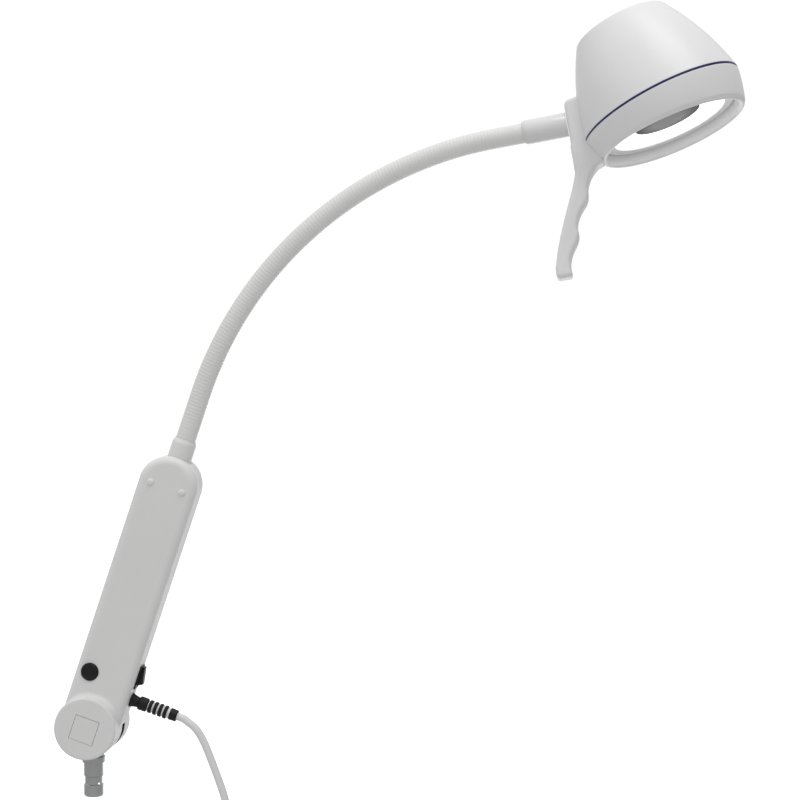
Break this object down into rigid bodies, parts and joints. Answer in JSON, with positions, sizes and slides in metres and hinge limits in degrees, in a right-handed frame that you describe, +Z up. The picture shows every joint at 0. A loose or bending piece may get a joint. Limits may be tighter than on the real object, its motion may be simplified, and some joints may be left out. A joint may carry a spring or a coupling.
{
  "type": "surgical light",
  "caption": "Gooseneck examination light: round swivelling lamp head with grip, bendable neck, flat housing with controls and a tilting hinge on an upright mounting pin.",
  "frame": {"origin": "centre of the mounting pin's lower end face", "axes": "+Z up along the pin, +X the way the arm leans and the neck reaches, -Y the side with the push button"},
  "size_m": [0.5493, 0.1306, 0.8726],
  "materials": {
    "housing_white": "white moulded ABS with a fine spark texture, satin",
    "head_white": "white moulded ABS, smooth satin",
    "ferrule_white": "white lacquered sleeve, glossy",
    "neck_sleeve": "white soft PVC sleeve, shallow ribs, satin",
    "navy_ring": "navy blue plastic, satin gloss",
    "diffuser_white": "frosted white lens",
    "reflector_grey": "smoky grey, glossy",
    "black_plastic": "black moulded plastic, satin",
    "black_rubber": "black soft PVC",
    "cord_sheath": "pale grey PVC cord sheath, satin",
    "steel": "turned steel, dull plated",
    "brass": "plain brass",
    "aluminium": "machined aluminium",
    "circuit_board": "green solder mask"
  },
  "bodies": {
    "mount_pin": {"spigot_pin": "steel"},
    "arm": {"housing_front": "housing_white", "housing_rear": "housing_white", "hinge_bolt": "steel", "spring_washer": "steel", "bolt_washer": "steel", "hinge_nut": "steel", "friction_washer_front": "brass", "friction_washer_rear": "brass", "hinge_cover_plate": "housing_white", "hinge_cap_rear": "housing_white", "screw_plug_left": "housing_white", "screw_plug_right": "housing_white", "housing_screw_1": "steel", "housing_screw_2": "steel", "housing_screw_3": "steel", "housing_screw_4": "steel", "button_switch": "black_plastic", "rocker_frame": "black_plastic", "rocker_switch_body": "black_plastic", "supply_board": "circuit_board", "transformer": "brass", "smoothing_capacitor": "black_plastic", "control_chip_block": "black_plastic", "terminal_block": "housing_white", "cable_clamp": "steel", "strain_relief": "black_rubber", "power_cord": "cord_sheath", "power_cord_coil": "cord_sheath", "coil_tie": "black_rubber", "power_cord_tail": "cord_sheath", "mains_plug": "cord_sheath", "neck_base": "neck_sleeve", "lower_ferrule": "ferrule_white"},
    "button": {"dimmer_button": "black_plastic"},
    "rocker": {"power_rocker": "black_plastic"},
    "link_1": {"neck_link_1": "neck_sleeve"},
    "link_2": {"neck_link_2": "neck_sleeve"},
    "link_3": {"neck_link_3": "neck_sleeve"},
    "link_4": {"neck_link_4": "neck_sleeve"},
    "link_5": {"neck_link_5": "neck_sleeve"},
    "link_6": {"neck_link_6": "neck_sleeve"},
    "link_7": {"neck_link_7": "neck_sleeve"},
    "link_8": {"neck_link_8": "neck_sleeve"},
    "link_9": {"neck_link_9": "neck_sleeve"},
    "link_10": {"neck_link_10": "neck_sleeve", "upper_ferrule": "ferrule_white"},
    "head": {"head_dome": "head_white", "accent_ring": "navy_ring", "driver_board": "circuit_board", "driver_coil": "brass", "head_bezel": "head_white", "retaining_ring": "head_white", "diffuser": "diffuser_white", "centre_reflector": "reflector_grey", "led_board": "circuit_board", "heat_sink": "aluminium", "bracket_grip": "head_white"}
  },
  "joints": [
    {"name": "arm_tilt", "type": "hinge", "parent": "mount_pin", "child": "arm", "pos_m": [0, -0.004, 0.0605], "axis": [0, 1, 0], "range_deg": [-105, 69]},
    {"name": "neck_bend_1", "type": "hinge", "parent": "arm", "child": "link_1", "pos_m": [0.08362, -0.004, 0.30827], "axis": [0, 1, 0], "range_deg": [-12, 12]},
    {"name": "neck_sway_1", "type": "hinge", "parent": "link_1", "child": "link_2", "pos_m": [0.09673, -0.004, 0.34553], "axis": [-0.9277, 0, 0.3734], "range_deg": [-9, 9]},
    {"name": "neck_bend_2", "type": "hinge", "parent": "link_2", "child": "link_3", "pos_m": [0.11379, -0.004, 0.38112], "axis": [0, 1, 0], "range_deg": [-12, 12]},
    {"name": "neck_sway_2", "type": "hinge", "parent": "link_3", "child": "link_4", "pos_m": [0.1353, -0.004, 0.41422], "axis": [-0.8017, 0, 0.5977], "range_deg": [-9, 9]},
    {"name": "neck_bend_3", "type": "hinge", "parent": "link_4", "child": "link_5", "pos_m": [0.16088, -0.004, 0.44428], "axis": [0, 1, 0], "range_deg": [-12, 12]},
    {"name": "neck_sway_3", "type": "hinge", "parent": "link_5", "child": "link_6", "pos_m": [0.19012, -0.004, 0.47079], "axis": [-0.6227, 0, 0.7825], "range_deg": [-9, 9]},
    {"name": "neck_bend_4", "type": "hinge", "parent": "link_6", "child": "link_7", "pos_m": [0.22253, -0.004, 0.49333], "axis": [0, 1, 0], "range_deg": [-12, 12]},
    {"name": "neck_sway_4", "type": "hinge", "parent": "link_7", "child": "link_8", "pos_m": [0.25757, -0.004, 0.51151], "axis": [-0.4024, 0, 0.9155], "range_deg": [-9, 9]},
    {"name": "neck_bend_5", "type": "hinge", "parent": "link_8", "child": "link_9", "pos_m": [0.29465, -0.004, 0.52503], "axis": [0, 1, 0], "range_deg": [-12, 12]},
    {"name": "neck_sway_5", "type": "hinge", "parent": "link_9", "child": "link_10", "pos_m": [0.33315, -0.004, 0.53376], "axis": [-0.1797, 0, 0.9837], "range_deg": [-9, 9]},
    {"name": "head_swivel", "type": "hinge", "parent": "link_10", "child": "head", "pos_m": [0.38509, -0.004, 0.54325], "axis": [0.9837, 0, 0.1797], "range_deg": [-135, 135]},
    {"name": "button_press", "type": "slide", "parent": "arm", "child": "button", "axis": [0, 1, 0], "range_m": [0, 0.001], "stiffness_N_per_m": 400, "springref_m": -0.0005},
    {"name": "rocker_switch", "type": "hinge", "parent": "arm", "child": "rocker", "pos_m": [0.03871, -0.004, 0.09936], "axis": [0, 1, 0], "range_deg": [0, 18]}
  ],
  "couplings": [
    {"joint": "neck_bend_2", "follows": "neck_bend_1", "ratio": 1},
    {"joint": "neck_bend_3", "follows": "neck_bend_1", "ratio": 1},
    {"joint": "neck_bend_4", "follows": "neck_bend_1", "ratio": 1},
    {"joint": "neck_bend_5", "follows": "neck_bend_1", "ratio": 1},
    {"joint": "neck_sway_2", "follows": "neck_sway_1", "ratio": 1},
    {"joint": "neck_sway_3", "follows": "neck_sway_1", "ratio": 1},
    {"joint": "neck_sway_4", "follows": "neck_sway_1", "ratio": 1},
    {"joint": "neck_sway_5", "follows": "neck_sway_1", "ratio": 1}
  ]
}
